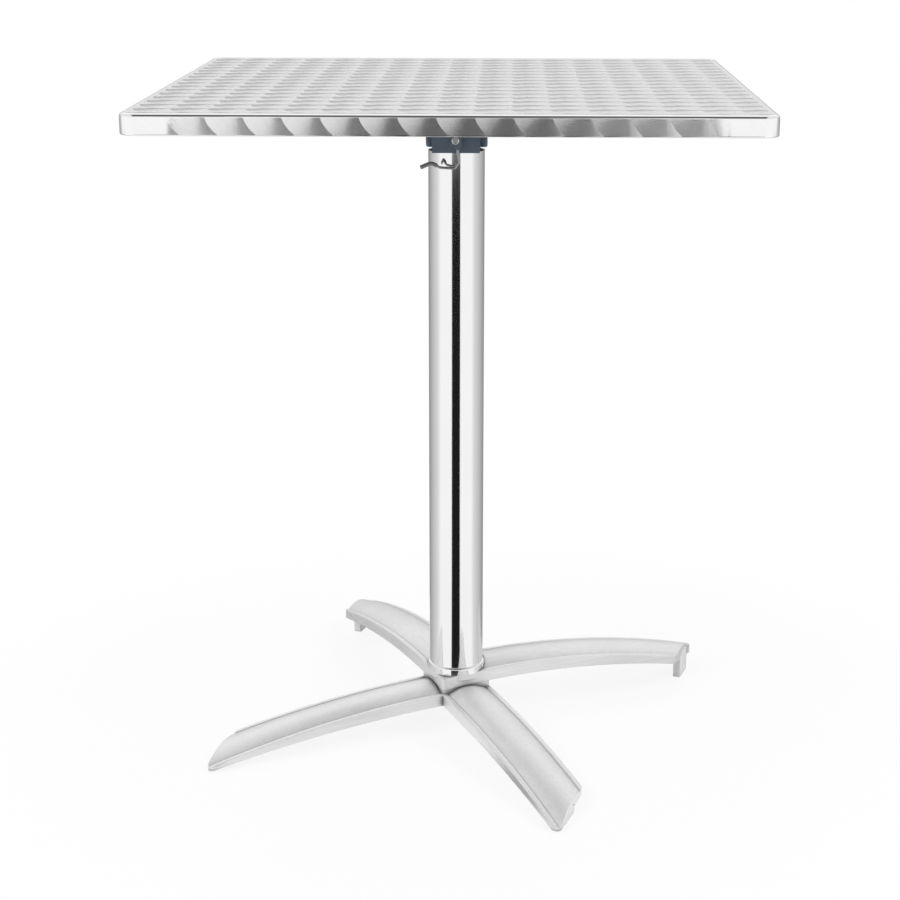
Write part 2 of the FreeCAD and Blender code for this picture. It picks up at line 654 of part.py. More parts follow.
def make_lever_screw():
    """Shoulder screw that the latch plate turns on, with a hexagon socket."""
    centre = (0.0, LATCH_Z)
    seat = PAWL_FRONT - LATCH_GAP
    crown = seat - LATCH_SCREW_HEAD_HEIGHT
    tail = HEAD_FRONT + FRONT_WALL_THICKNESS
    head = drum(LATCH_SCREW_HEAD_DIAMETER / 2, crown, seat, centre, front)
    rim = [edge for edge in head.Edges if edge.BoundBox.YMax < crown + TOUCH]
    head = head.makeFillet(LATCH_SCREW_HEAD_ROUND, rim)
    shoulder = drum(LATCH_SHOULDER_DIAMETER / 2, seat, BOSS_FRONT, centre, front)
    thread = drum(LATCH_THREAD_DIAMETER / 2, BOSS_FRONT, tail, centre, front)
    socket = hexagon(LATCH_SOCKET_ACROSS_FLATS, crown - OVERCUT, crown + LATCH_SOCKET_DEPTH, centre, front)
    return head.fuse([shoulder, thread]).cut(socket)


def spring_anchor():
    """Where the spring goes into the front wall, across and up."""
    return SPRING_COIL_RADIUS, LATCH_Z - SPRING_ANCHOR_DROP


def bezier_arc(start, knee, end):
    """Arc that leaves start towards knee and reaches end, with equal sides to the knee."""
    weight = math.cos((knee - start).getAngle(end - start))
    middle = (start + knee * (2 * weight) + end) * (1 / (2 + 2 * weight))
    return Part.Arc(start, middle, end).toShape()


def biarc(start, start_way, end, end_way):
    """Two tangent arcs from one point and direction to another."""
    span = end - start
    ways = start_way + end_way
    square = ways.dot(ways) - 4
    linear = -2 * span.dot(ways)
    reach = (-linear - math.sqrt(linear ** 2 - 4 * square * span.dot(span))) / (2 * square)
    first_knee = start + start_way * reach
    second_knee = end - end_way * reach
    joint = (first_knee + second_knee) * 0.5
    return [bezier_arc(start, first_knee, joint), bezier_arc(joint, second_knee, end)]


def coil_point(turns):
    angle = 2 * math.pi * turns
    depth = HEAD_FRONT - SPRING_WIRE / 2 - SPRING_WALL_GAP - SPRING_PITCH * turns
    across = SPRING_COIL_RADIUS * math.cos(angle)
    return Vector(across, depth, LATCH_Z + SPRING_COIL_RADIUS * math.sin(angle))


def coil_way(turns):
    angle = 2 * math.pi * turns
    run = 2 * math.pi * SPRING_COIL_RADIUS
    return Vector(-run * math.sin(angle), -SPRING_PITCH, run * math.cos(angle)).normalize()


def spring_edges():
    """Path of the spring wire: anchor in the wall, the coil, then the leg beside the latch plate."""
    start = coil_point(0)
    way = coil_way(0)
    foot = start - way * (SPRING_ANCHOR_DROP / way.z)
    inside = Vector(foot.x, HEAD_FRONT + SPRING_ANCHOR_DEPTH, foot.z)
    edges = route([(inside, 0.0), (foot, SPRING_ANCHOR_BEND), (start, 0.0)])
    quarters = round(4 * SPRING_TURNS)
    for quarter in range(quarters):
        here = quarter / 4
        ahead = (quarter + 1) / 4
        edges += biarc(coil_point(here), coil_way(here), coil_point(ahead), coil_way(ahead))
    end = coil_point(SPRING_TURNS)
    knee = end + coil_way(SPRING_TURNS) * SPRING_LEG_RUN
    beside = LEVER_OFFSET - PAWL_WIDTH / 2 - SPRING_TIP_GAP - SPRING_WIRE / 2
    elbow = latch_point(beside, -SPRING_TIP_DROP, knee.y)
    tip = latch_point(beside, -SPRING_TIP_DROP, PAWL_FRONT + SPRING_TIP_INSET)
    bend = SPRING_LEG_BEND_RADIUS
    return edges + route([(end, 0.0), (knee, bend), (elbow, bend), (tip, 0.0)])


def make_lever_spring():
    """Torsion spring that swings the lever back; one unbroken wire."""
    edges = spring_edges()
    print("spring: least gap to itself %.2f mm" % spring_self_gap(edges))
    return tube_along(edges, SPRING_WIRE / 2)


def spring_self_gap(edges):
    """Least clear distance between stretches of the wire more than half a turn apart."""
    points = []
    lengths = []
    length = 0.0
    for edge in edges:
        for point in edge.discretize(SPRING_CHECK_POINTS)[1:]:
            if points:
                length += point.distanceToPoint(points[-1])
            points.append(point)
            lengths.append(length)
    least = SPRING_COIL_RADIUS
    for index, point in enumerate(points):
        for other in range(index):
            if lengths[index] - lengths[other] > math.pi * SPRING_COIL_RADIUS:
                least = min(least, point.distanceToPoint(points[other]) - SPRING_WIRE)
    return least


def make_column_tube():
    tube = drum(COLUMN_DIAMETER / 2, COLLAR_TOP, COLUMN_TOP)
    return tube.cut(drum(COLUMN_DIAMETER / 2 - COLUMN_WALL, COLLAR_TOP - OVERCUT, COLUMN_TOP + OVERCUT))


def make_column_collar():
    """Ring on the hub that the tube stands on, with a spigot inside the tube."""
    ring = drum(COLLAR_RADIUS, UPPER_HUB_TOP, COLLAR_TOP)
    ring = ring.makeFillet(COLLAR_ROUND, level_edges(ring, COLLAR_TOP))
    spigot = drum(PLUG_RADIUS, UPPER_HUB_TOP, COLLAR_TOP + SPIGOT_HEIGHT)
    hole = drum(ROD_HOLE_RADIUS, UPPER_HUB_TOP - OVERCUT, COLLAR_TOP + SPIGOT_HEIGHT + OVERCUT)
    return ring.fuse(spigot).cut(hole).removeSplitter()


def rod_ends():
    low = LOWER_HUB_BOTTOM - ROD_WASHER_THICKNESS - ROD_NUT_HEIGHT - ROD_TAIL
    high = NUT_SEAT + ROD_WASHER_THICKNESS + ROD_NUT_HEIGHT + ROD_TAIL
    return low, high


def make_tie_rod():
    """Threaded rod that clamps the feet, collar, column and head together."""
    low, high = rod_ends()
    return drum(ROD_DIAMETER / 2, low, high)


def make_rod_washers():
    rings = []
    for low in (LOWER_HUB_BOTTOM - ROD_WASHER_THICKNESS, NUT_SEAT):
        high = low + ROD_WASHER_THICKNESS
        hole = drum(ROD_DIAMETER / 2 + FIT_CLEARANCE, low - OVERCUT, high + OVERCUT)
        rings.append(drum(ROD_WASHER_DIAMETER / 2, low, high).cut(hole))
    return Part.makeCompound(rings)


def make_rod_nuts():
    nuts = []
    for low in (LOWER_HUB_BOTTOM - ROD_WASHER_THICKNESS - ROD_NUT_HEIGHT, NUT_SEAT + ROD_WASHER_THICKNESS):
        high = low + ROD_NUT_HEIGHT
        hole = drum(ROD_DIAMETER / 2 + FIT_CLEARANCE, low - OVERCUT, high + OVERCUT)
        nuts.append(hexagon(ROD_NUT_ACROSS_FLATS, low, high).cut(hole))
    return Part.makeCompound(nuts)


class Leg:
    """One arched leg, built along +X and later turned to its place."""

    def __init__(self, reach, crest, crest_height, tip_height, tip_side):
        self.reach = reach
        self.crest = crest
        self.crest_height = crest_height
        self.tip_height = tip_height
        self.tip_side = tip_side
        self.angle = math.radians(LEG_ANGLE)
        self.tip = reach / math.cos(self.angle)
        self.start = -LEG_WIDTH / 2 - OVERCUT
        self.end = self.tip + LEG_WIDTH

    def arc_radius(self, drop):
        span = self.tip - self.crest
        return (span ** 2 + drop ** 2) / (2 * drop)

    def sweep(self, face, radius):
        """Carry a cross-section drawn at the crest along the leg's arc."""
        axis = Vector(self.crest, 0, self.crest_height - radius)
        first = math.degrees(math.asin((self.start - self.crest) / radius))
        last = math.degrees(math.asin((self.end - self.crest) / radius))
        face.rotate(axis, Vector(0, 1, 0), first)
        return face.revolve(axis, Vector(0, 1, 0), last - first)

    def section(self, edges):
        face = Part.Face(Part.Wire(edges))
        face.translate(Vector(self.crest, 0, self.crest_height))
        return face

    def outside_section(self):
        """Lip, groove and crowned panel above, straight sides below."""
        half = LEG_WIDTH / 2
        panel = half - LEG_LIP - LEG_GROOVE_WIDTH
        low = -2 * LEG_SIDE_AT_HUB
        right = [
            (side(half, low), 0.0),
            (side(half, 0), LEG_LIP_ROUND),
            (side(half - LEG_LIP, 0), 0.0),
            (side(panel, -LEG_GROOVE_DEPTH), 0.0),
        ]
        left = [
            (side(-panel, -LEG_GROOVE_DEPTH), 0.0),
            (side(LEG_LIP - half, 0), 0.0),
            (side(-half, 0), LEG_LIP_ROUND),
            (side(-half, low), 0.0),
        ]
        crown = Part.Arc(right[-1][0], side(0, LEG_CROWN), left[0][0]).toShape()
        floor = Part.makeLine(left[-1][0], right[0][0])
        return self.section(route(right) + [crown] + route(left) + [floor])

    def inside_section(self):
        half = LEG_WIDTH / 2 - LEG_WALL
        low = -2 * LEG_SIDE_AT_HUB - OVERCUT
        shoulder = -LEG_GROOVE_DEPTH - LEG_ROOF
        right = [side(half, low), side(half, shoulder)]
        left = [side(-half, shoulder), side(-half, low)]
        crown = Part.Arc(right[1], side(0, LEG_CROWN - LEG_ROOF), left[0]).toShape()
        lines = [Part.makeLine(*right), crown, Part.makeLine(*left), Part.makeLine(left[1], right[0])]
        return self.section(lines)

    def side_cut(self):
        """Everything under the lower edge of the side walls."""
        crest_low = self.crest_height - LEG_SIDE_AT_HUB
        tip_low = self.tip_height - self.tip_side
        radius = self.arc_radius(crest_low - tip_low)

        def on_arc(place):
            drop = radius - math.sqrt(radius ** 2 - (place - self.crest) ** 2)
            return Vector(place, -LEG_WIDTH, crest_low - drop)

        first = on_arc(self.start - OVERCUT)
        last = on_arc(self.end + OVERCUT)
        deep = -TABLE_HEIGHT
        corners = [Vector(last.x, last.y, deep), Vector(first.x, first.y, deep)]
        arc = Part.Arc(first, on_arc((self.start + self.end) / 2), last).toShape()
        lines = [Part.makeLine(last, corners[0]), Part.makeLine(*corners), Part.makeLine(corners[1], first)]
        return Part.Face(Part.Wire([arc] + lines)).extrude(Vector(0, 2 * LEG_WIDTH, 0))

    def footprint(self, start, hub_radius, inset, tip_radius, point_radius):
        """Plan of the leg from the hub, with its end cut parallel to the V's middle line."""
        half = LEG_WIDTH / 2
        tip = self.tip - inset / math.cos(self.angle)
        slope = math.tan(self.angle)
        corners = [
            ((start, -half), hub_radius),
            ((tip - half * slope, -half), tip_radius),
            ((tip + half * slope, half), point_radius),
            ((start, half), hub_radius),
        ]
        return prism(corners, plan, -TABLE_HEIGHT, TABLE_HEIGHT)

    def solid(self):
        radius = self.arc_radius(self.crest_height - self.tip_height)
        outside = self.sweep(self.outside_section(), radius)
        inside = self.sweep(self.inside_section(), radius)
        hub = -LEG_WIDTH / 2
        shell = outside.common(self.footprint(hub, HUB_CORNER_RADIUS, 0.0, LEG_TIP_RADIUS, LEG_POINT_RADIUS))
        channel = inside.common(self.footprint(CHANNEL_START, 0.0, FOOT_RIB - FOOT_SEAT, 0.0, 0.0))
        return shell.cut([channel, self.side_cut()])


UPPER_LEG = Leg(UPPER_REACH, UPPER_CREST, UPPER_CREST_HEIGHT, UPPER_TIP_HEIGHT, UPPER_TIP_SIDE)
LOWER_LEG = Leg(LOWER_REACH, LOWER_CREST, LOWER_CREST_HEIGHT, LOWER_TIP_HEIGHT, LOWER_TIP_SIDE)


def turned(shape, angle):
    return shape.rotated(Vector(0, 0, 0), Vector(0, 0, 1), angle)


def pair(shape):
    """A shape on the right leg of a V that opens along +Y, and its mirror image on the left leg."""
    right = turned(shape, 90 - LEG_ANGLE)
    return right, right.mirror(Vector(0, 0, 0), Vector(1, 0, 0))


def hub_block(low, high, grow):
    width = LEG_WIDTH + 2 * grow
    return turned(slab(width, width, HUB_CORNER_RADIUS, low, high), LEG_ANGLE)


def dowel_places():
    return [(-DOWEL_SPACING / 2, 0.0), (DOWEL_SPACING / 2, 0.0)]


def hub_holes():
    holes = [drum(ROD_HOLE_RADIUS, -OVERCUT, UPPER_HUB_TOP + OVERCUT)]
    low = LOWER_HUB_TOP - DOWEL_LENGTH / 2
    high = LOWER_HUB_TOP + DOWEL_LENGTH / 2
    for place in dowel_places():
        holes.append(drum(DOWEL_DIAMETER / 2 + FIT_CLEARANCE, low, high, place))
    return holes


def make_hub_dowels():
    low = LOWER_HUB_TOP - DOWEL_LENGTH / 2
    high = LOWER_HUB_TOP + DOWEL_LENGTH / 2
    pins = [drum(DOWEL_DIAMETER / 2, low, high, place) for place in dowel_places()]
    return turned(Part.makeCompound(pins), BASE_TURN)


def v_casting(leg, hub):
    """Two mirrored legs on a hub, mitred on the V's middle plane; the V opens along +Y."""
    far = leg.end + LEG_WIDTH
    right_side = Part.makeBox(far, 2 * far, 2 * TABLE_HEIGHT, Vector(0, -far, -TABLE_HEIGHT))
    half = hub.fuse(turned(leg.solid(), 90 - LEG_ANGLE)).common(right_side)
    half = half.cut([turned(cut, 90 - LEG_ANGLE) for cut in foot_socket(leg)])
    return half.fuse(half.mirror(Vector(0, 0, 0), Vector(1, 0, 0))).cut(hub_holes())


def make_upper_legs():
    """Upper V: the two legs that point to the back, with a round seat for the collar."""
    hub = hub_block(LOWER_HUB_TOP, UPPER_HUB_TOP - LEG_LIP_ROUND, -HUB_INSET)
    hub = hub.fuse(drum(COLLAR_RADIUS, UPPER_HUB_TOP - LEG_CROWN, UPPER_HUB_TOP))
    seat = drum(COLLAR_SEAT_RADIUS, UPPER_HUB_TOP, TABLE_HEIGHT)
    return turned(v_casting(UPPER_LEG, hub).cut(seat).removeSplitter(), BASE_TURN)


def make_lower_legs():
    """Lower V: the two legs that point to the front, butted against the upper hub."""
    hub = hub_block(LOWER_HUB_BOTTOM, LOWER_HUB_TOP, -HUB_INSET)
    room = hub_block(LOWER_HUB_TOP, TABLE_HEIGHT, HUB_GAP)
    washer_seat = drum(NUT_WELL_RADIUS, 0.0, LOWER_HUB_BOTTOM)
    return turned(v_casting(LOWER_LEG, hub).cut([room, washer_seat]).removeSplitter(), BASE_TURN + 180)


def foot_place(leg, shape):
    """Carry a foot shape, drawn at the end face with +X outwards, to the tip of a leg."""
    moved = turned(shape, LEG_ANGLE - 90)
    moved.translate(Vector(leg.tip, 0, 0))
    return moved


def foot_outline(leg, grow, low, corner_radius):
    """View of a foot from the leg's end: shoulders under the crown and a foot plate below."""
    top = leg.tip_height + FOOT_TOP_RISE + grow
    shoulder = leg.tip_height - FOOT_SHOULDER_DROP + grow
    crest = FOOT_TOP_WIDTH / 2
    wide = FOOT_WIDTH / 2 + grow
    narrow = FOOT_BOTTOM_WIDTH / 2 + grow
    return [
        ((-crest, top), 0.0),
        ((-wide, shoulder), 0.0),
        ((-narrow, low), corner_radius),
        ((narrow, low), corner_radius),
        ((wide, shoulder), 0.0),
        ((crest, top), 0.0),
    ]


def foot_stud(leg, grow, high):
    """Stud behind the foot plate."""
    place = (0.0, leg.tip_height - FOOT_STUD_DROP)
    return drum(FOOT_STUD_DIAMETER / 2 + grow, FOOT_SEAT - FOOT_STUD_LENGTH - grow, high, place, side)


def foot_socket(leg):
    """Notch in the end face for the foot plate and the hole behind it for the stud."""
    notch = prism(foot_outline(leg, FIT_CLEARANCE, -OVERCUT, 0.0), side, FOOT_SEAT, LEG_WIDTH)
    return [foot_place(leg, notch), foot_place(leg, foot_stud(leg, FIT_CLEARANCE, FOOT_SEAT + OVERCUT))]


def foot_shape(leg):
    """Plate in the end of the leg, from under the crown down to the floor, with its stud."""
    plate = prism(foot_outline(leg, 0.0, 0.0, FOOT_CORNER_RADIUS), side, FOOT_SEAT, -FOOT_RECESS)
    return foot_place(leg, plate.fuse(foot_stud(leg, 0.0, -FOOT_THICKNESS / 2)))


def make_feet():
    """The four push-in feet, named for where they stand."""
    right, back = pair(foot_shape(UPPER_LEG))
    left, ahead = pair(foot_shape(LOWER_LEG))
    return {
        "foot_right": turned(right, BASE_TURN),
        "foot_back": turned(back, BASE_TURN),
        "foot_left": turned(left, BASE_TURN + 180),
        "foot_front": turned(ahead, BASE_TURN + 180),
    }


def make_parts():
    parts = {
        "top_sheet": make_top_sheet(),
        "top_core": make_top_core(),
        "top_underside": make_top_underside(),
        "flip_bracket": make_flip_bracket(),
        "bracket_screws": make_bracket_screws(),
        "keeper": make_keeper(),
        "keeper_screws": make_keeper_screws(),
        "pivot_bolt": make_pivot_bolt(),
        "pivot_washer": make_pivot_washer(),
        "pivot_nut": make_pivot_nut(),
        "pivot_bushes": make_pivot_bushes(),
        "column_head": make_column_head(),
        "stop_buffers": make_stop_buffers(),
        "latch_pawl": make_latch_pawl(),
        "release_lever": make_release_lever(),
        "lever_sleeve": make_lever_sleeve(),
        "lever_screw": make_lever_screw(),
        "lever_spring": make_lever_spring(),
        "column_tube": make_column_tube(),
        "column_collar": make_column_collar(),
        "tie_rod": make_tie_rod(),
        "rod_washers": make_rod_washers(),
        "rod_nuts": make_rod_nuts(),
        "upper_legs": make_upper_legs(),
        "lower_legs": make_lower_legs(),
        "hub_dowels": make_hub_dowels(),
    }
    parts.update(make_feet())
    return parts


os.makedirs("parts", exist_ok=True)
for name, shape in make_parts().items():
    shape.exportStep("parts/%s.step" % name)
    box = shape.BoundBox
    size = (box.XMin, box.XMax, box.YMin, box.YMax, box.ZMin, box.ZMax)
    print("%-16s %2d solids %10.1f mm3" % (name, len(shape.Solids), shape.Volume), end="  ")
    print("x %6.1f %6.1f  y %6.1f %6.1f  z %6.1f %6.1f" % size, end="  ")
    print("valid" if shape.isValid() else "NOT VALID")
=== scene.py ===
# %% [markdown]
# A flip-top bistro table
#
# This lesson dresses a finished construction model. The table has a square stainless steel top with a
# swirl-ground face, a dark flip head with a latch lever, a polished column and two stacked V castings.
# The model arrives as a frame of named pieces in metres, standing on the floor under the column, with the
# lever on the side that looks along -Y. Nothing here moves those pieces: the lesson gives them finishes,
# makes the lever's return spring again as a wire, and sets up a studio round them.

# %% Load the frame
import json
import math

import bpy
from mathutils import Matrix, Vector


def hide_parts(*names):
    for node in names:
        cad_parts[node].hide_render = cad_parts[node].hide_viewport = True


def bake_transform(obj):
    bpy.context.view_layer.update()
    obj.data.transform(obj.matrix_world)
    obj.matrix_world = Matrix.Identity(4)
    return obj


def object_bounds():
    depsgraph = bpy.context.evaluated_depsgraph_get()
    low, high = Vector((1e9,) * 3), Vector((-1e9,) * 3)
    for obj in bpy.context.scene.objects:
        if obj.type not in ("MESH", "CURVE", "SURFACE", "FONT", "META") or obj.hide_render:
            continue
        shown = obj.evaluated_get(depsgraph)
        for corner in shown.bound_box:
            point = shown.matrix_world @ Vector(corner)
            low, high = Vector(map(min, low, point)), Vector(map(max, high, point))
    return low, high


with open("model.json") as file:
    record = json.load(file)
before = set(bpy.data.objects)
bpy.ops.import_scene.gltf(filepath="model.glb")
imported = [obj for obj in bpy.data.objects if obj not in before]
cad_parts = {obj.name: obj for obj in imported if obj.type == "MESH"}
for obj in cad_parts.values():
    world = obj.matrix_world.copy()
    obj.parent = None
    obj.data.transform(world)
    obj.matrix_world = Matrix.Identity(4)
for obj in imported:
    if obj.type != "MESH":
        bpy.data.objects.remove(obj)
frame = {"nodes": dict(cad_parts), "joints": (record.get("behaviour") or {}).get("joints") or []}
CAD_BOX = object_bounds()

MM = 0.001
PIECES = frame["nodes"]

# %% [markdown]
# Shader maths as Python
#
# A finish is a graph of nodes, and long chains of Math nodes are hard to read when each is made by hand.
# So one small class wraps a node's output and gives it the usual operators: `1 - mask` then adds a Subtract
# node by itself.


# %% Sockets that do arithmetic
class Socket:
    """One output in a node graph; arithmetic on it adds Math nodes."""

    def __init__(self, graph, output):
        self.graph = graph
        self.output = output

    def math(self, operation, *values):
        return self.graph.node("ShaderNodeMath", {"operation": operation}, dict(enumerate(values)))

    def __add__(self, other):
        return self.math("ADD", self, other)

    def __radd__(self, other):
        return self.math("ADD", other, self)

    def __sub__(self, other):
        return self.math("SUBTRACT", self, other)

    def __rsub__(self, other):
        return self.math("SUBTRACT", other, self)

    def __mul__(self, other):
        return self.math("MULTIPLY", self, other)

    def __rmul__(self, other):
        return self.math("MULTIPLY", other, self)

    def __truediv__(self, other):
        return self.math("DIVIDE", self, other)

    def __rtruediv__(self, other):
        return self.math("DIVIDE", other, self)

    def __gt__(self, other):
        return self.math("GREATER_THAN", self, other)

    def __lt__(self, other):
        return self.math("LESS_THAN", self, other)

    def __abs__(self):
        return self.math("ABSOLUTE", self)

    def floor(self):
        return self.math("FLOOR", self)

    def root(self):
        return self.math("SQRT", self.math("MAXIMUM", self, 0.0))

    def fold(self, step):
        """Up and down between 0 and step, as a triangle wave."""
        return self.math("PINGPONG", self, step)


# %% [markdown]
# One way to make a node
#
# Every other kind of node comes from `node`, which takes the type, the settings and the inputs. Nodes that
# come up in most finishes get a short name of their own, so that a finish reads like a recipe. Colours and
# vectors have their own calls, because a Math node would turn a colour grey.


# %% A graph of nodes
class Graph:
    """A node tree with the few calls that this lesson needs."""

    def __init__(self, tree):
        self.tree = tree

    def node(self, kind, settings=None, inputs=None, output=0):
        made = self.tree.nodes.new(kind)
        for name, value in (settings or {}).items():
            setattr(made, name, value)
        for key, value in (inputs or {}).items():
            if isinstance(value, Socket):
                self.tree.links.new(value.output, made.inputs[key])
            else:
                made.inputs[key].default_value = value
        return Socket(self, made.outputs[output]) if made.outputs else None

    def split(self, vector):
        """The three parts of a vector."""
        first = self.node("ShaderNodeSeparateXYZ", inputs={0: vector})
        return [Socket(self, output) for output in first.output.node.outputs]

    def vector(self, x, y, z):
        return self.node("ShaderNodeCombineXYZ", inputs={0: x, 1: y, 2: z})

    def vector_math(self, operation, *values, output=0):
        return self.node("ShaderNodeVectorMath", {"operation": operation}, dict(enumerate(values)), output)

    def scaled(self, vector, factor):
        return self.node("ShaderNodeVectorMath", {"operation": "SCALE"}, {0: vector, "Scale": factor})

    def mix_colour(self, factor, first, second):
        """A colour that goes from first to second: a Mix node keeps its colours in sockets 6 and 7."""
        return self.node("ShaderNodeMix", {"data_type": "RGBA"}, {0: factor, 6: first, 7: second}, output=2)

    def mix_shader(self, factor, first, second):
        return self.node("ShaderNodeMixShader", inputs={0: factor, 1: first, 2: second})

    def pick(self, factor, first, second):
        """A number that goes from first to second: a Mix node keeps its numbers in sockets 2 and 3."""
        return self.node("ShaderNodeMix", {"data_type": "FLOAT"}, {0: factor, 2: first, 3: second})

    def ease(self, value, low, high):
        """0 below low, 1 above high and a smooth step between."""
        ends = {"Value": value, "From Min": low, "From Max": high}
        return self.node("ShaderNodeMapRange", {"interpolation_type": "SMOOTHSTEP"}, ends)

    def noise(self, vector, scale, detail=2.0):
        return self.node("ShaderNodeTexNoise", inputs={"Vector": vector, "Scale": scale, "Detail": detail})

    def glow(self, colour):
        return self.node("ShaderNodeEmission", inputs={"Color": colour, "Strength": 1.0})

    def place(self):
        """The point being shaded, in the table's own frame, in metres."""
        return self.node("ShaderNodeTexCoord", output="Object")


# %% [markdown]
# A finish and the pieces that wear it
#
# Each finish is one material with one Principled surface. `surface` sets that shader's inputs, by a number, a
# colour or a socket, and `dress` puts the material on pieces by their names. The floor and the card, which
# mirrors see in another way than the camera does, swap that surface for a mix of shaders with `cover`.


# %% A finish
EDGE_SAMPLES = 6


class Finish(Graph):
    """A material with one Principled surface, written as expressions."""

    def __init__(self, name):
        self.material = bpy.data.materials.new(name)
        self.material.use_nodes = True
        super().__init__(self.material.node_tree)
        self.shader = self.tree.nodes["Principled BSDF"]

    def surface(self, **inputs):
        for name, value in inputs.items():
            socket = self.shader.inputs[name.replace("_", " ").title()]
            if isinstance(value, Socket):
                self.tree.links.new(value.output, socket)
            else:
                socket.default_value = value

    def bump(self, height, distance, strength, **inputs):
        sizes = {"Height": height, "Distance": distance, "Strength": strength}
        return self.node("ShaderNodeBump", inputs={**sizes, **inputs})

    def soft_edge(self, radius):
        """The normal as if sharp edges were rounded a little."""
        return self.node("ShaderNodeBevel", {"samples": EDGE_SAMPLES}, {"Radius": radius})

    def cover(self, shader):
        self.tree.links.new(shader.output, self.tree.nodes["Material Output"].inputs["Surface"])

    def dress(self, *names):
        for name in names:
            PIECES[name].data.materials.clear()
            PIECES[name].data.materials.append(self.material)
        print(self.material.name, "on", ", ".join(names))


def grey(level):
    return (level, level, level, 1.0)


# %% [markdown]
# Where each swirl lies
#
# The top is one sheet of stainless steel, ground with a spinning abrasive pad in rows of overlapping discs.
# Each new disc covers part of the last one and part of the row before. Disc shapes could be modelled or
# painted, but there are hundreds of them. Here each point works out by itself which disc was ground last
# over it: the row first, then the disc in that row, and the row before where the upper row misses the point.

# %% Swirl discs
SWIRL_PITCH = 35.0 * MM
SWIRL_RADIUS = 33.0 * MM
SWIRL_FIRST_ACROSS = 21.0 * MM
SWIRL_FIRST_AWAY = -292.0 * MM
TOP_LEVEL = CAD_BOX[1].z
TOP_HALF = CAD_BOX[1].x


def disc_place(graph, across, away):
    """Where a point lies in the uppermost disc that covers it: across and away from that disc's centre."""
    def within_row(offset_away):
        chord = (SWIRL_RADIUS ** 2 - offset_away * offset_away).root()
        column = ((across - SWIRL_FIRST_ACROSS + chord) / SWIRL_PITCH).floor()
        return across - SWIRL_FIRST_ACROSS - column * SWIRL_PITCH, chord

    row = ((away - SWIRL_FIRST_AWAY + SWIRL_RADIUS) / SWIRL_PITCH).floor()
    upper_away = away - SWIRL_FIRST_AWAY - row * SWIRL_PITCH
    upper_across, chord = within_row(upper_away)
    lower_away = upper_away + SWIRL_PITCH
    lower_across, _ = within_row(lower_away)
    missed = upper_across > chord
    return graph.pick(missed, upper_across, lower_across), graph.pick(missed, upper_away, lower_away)


print("discs in a row of the top, about", round(2 * TOP_HALF / SWIRL_PITCH))

# %% [markdown]
# Smooth rim and buffed corners
#
# On the real pan a narrow strip along the edge, and the bend beside it, are smooth and show no swirls. The
# skirt's corners look buffed too. These zones could be separate faces with materials of their own, but their
# borders are soft. So each is a mask, from the distance to the edge and from where the sheet's normal points:
# up on the face, level on the skirt and down on the lip that is folded under the board.

# %% Masks for the edge
RIM_WIDTH = 7.0 * MM
RIM_FADE = 1.5 * MM
CORNER_LENGTH = 72.0 * MM
CORNER_FADE = 30.0 * MM
# How far the sheet's normal points up where the skirt, the bend and the lip begin and end
SKIRT_SLOPE = (0.15, 0.3)
BEND_SLOPE = (0.985, 0.999)
LIP_SLOPE = (-0.9, -0.6)


def rim_mask(finish, x, y, skirt):
    """1 on the smooth strip along the edge and on its bend, 0 on the ground face and on the skirt."""
    nearest = x.math("MAXIMUM", x, y)
    strip = finish.ease(nearest, TOP_HALF - RIM_WIDTH - RIM_FADE, TOP_HALF - RIM_WIDTH)
    return strip * (1 - skirt)


def corner_mask(finish, x, y, upright):
    """1 on the skirt near a corner."""
    along = x.math("MINIMUM", x, y)
    start = TOP_HALF - CORNER_LENGTH
    return upright * finish.ease(along, start, start + CORNER_FADE)


print("smooth rim", round(RIM_WIDTH / MM, 1), "mm wide")
print("buffed corners", round(CORNER_LENGTH / MM, 1), "mm long")

# %% [markdown]
# The swirl-ground steel
#
# Each disc leaves ring-shaped scratches, so light spreads across the rings and not along them, and every disc
# shows a bright fan and a dark fan that turn with the viewer. An image texture could fake one view of that.
# Here the normal itself is tilted along each disc's radius, up and down like a saw, so the shader's own
# reflections make the fans from any side. The pattern is worked out on the flat sheet before it was bent: the
# skirt's points are folded back up beside the edge, so the discs run over it as they do on the real pan.

# %% Rings of scratches
RING_PITCH = 0.25 * MM
RING_TILT = 0.33
RING_BACK_SHARE = 0.25
RING_WAVER = 0.6
WAVER_SCALE = 260.0
RING_HEART = 0.2 * MM
UP = (0.0, 0.0, 1.0)
FOLD_GUARD = 1.001


def ray_on_sheet(finish, flat_ray, normal, normal_z):
    """A disc's radius, turned down with the sheet where it is bent."""
    # FOLD_GUARD is a little over 1, so that a normal that points straight down doesn't divide by zero
    lean = finish.vector_math("DOT_PRODUCT", flat_ray, normal, output="Value") / (FOLD_GUARD + normal_z)
    hinge = finish.vector_math("ADD", normal, UP)
    return finish.vector_math("SUBTRACT", flat_ray, finish.scaled(hinge, lean))


def ring_saw(finish, place, radius):
    """How far the ring scratches lean outward at this radius, up and down like a saw."""
    waver = finish.noise(place, WAVER_SCALE) * (RING_WAVER * RING_PITCH)
    rise = (radius + waver).fold(RING_PITCH / 2) * (2 / RING_PITCH)
    return rise * (1 + RING_BACK_SHARE) - RING_BACK_SHARE


print("ring scratches", round(RING_PITCH / MM, 2), "mm apart")

# %% Swirl steel
SCRATCHES_ACROSS = 900.0
SCRATCHES_ALONG = 8.0
STEEL_DARK = grey(0.87)
STEEL_LIGHT = grey(0.97)
GROUND_ROUGHNESS = 0.12
SCRATCH_ROUGHNESS = 0.08
RIM_ROUGHNESS = 0.2
SKIRT_ROUGHNESS = 0.05
BUFFED_ROUGHNESS = 0.06
INTO_WORLD = {"vector_type": "NORMAL", "convert_from": "OBJECT", "convert_to": "WORLD"}


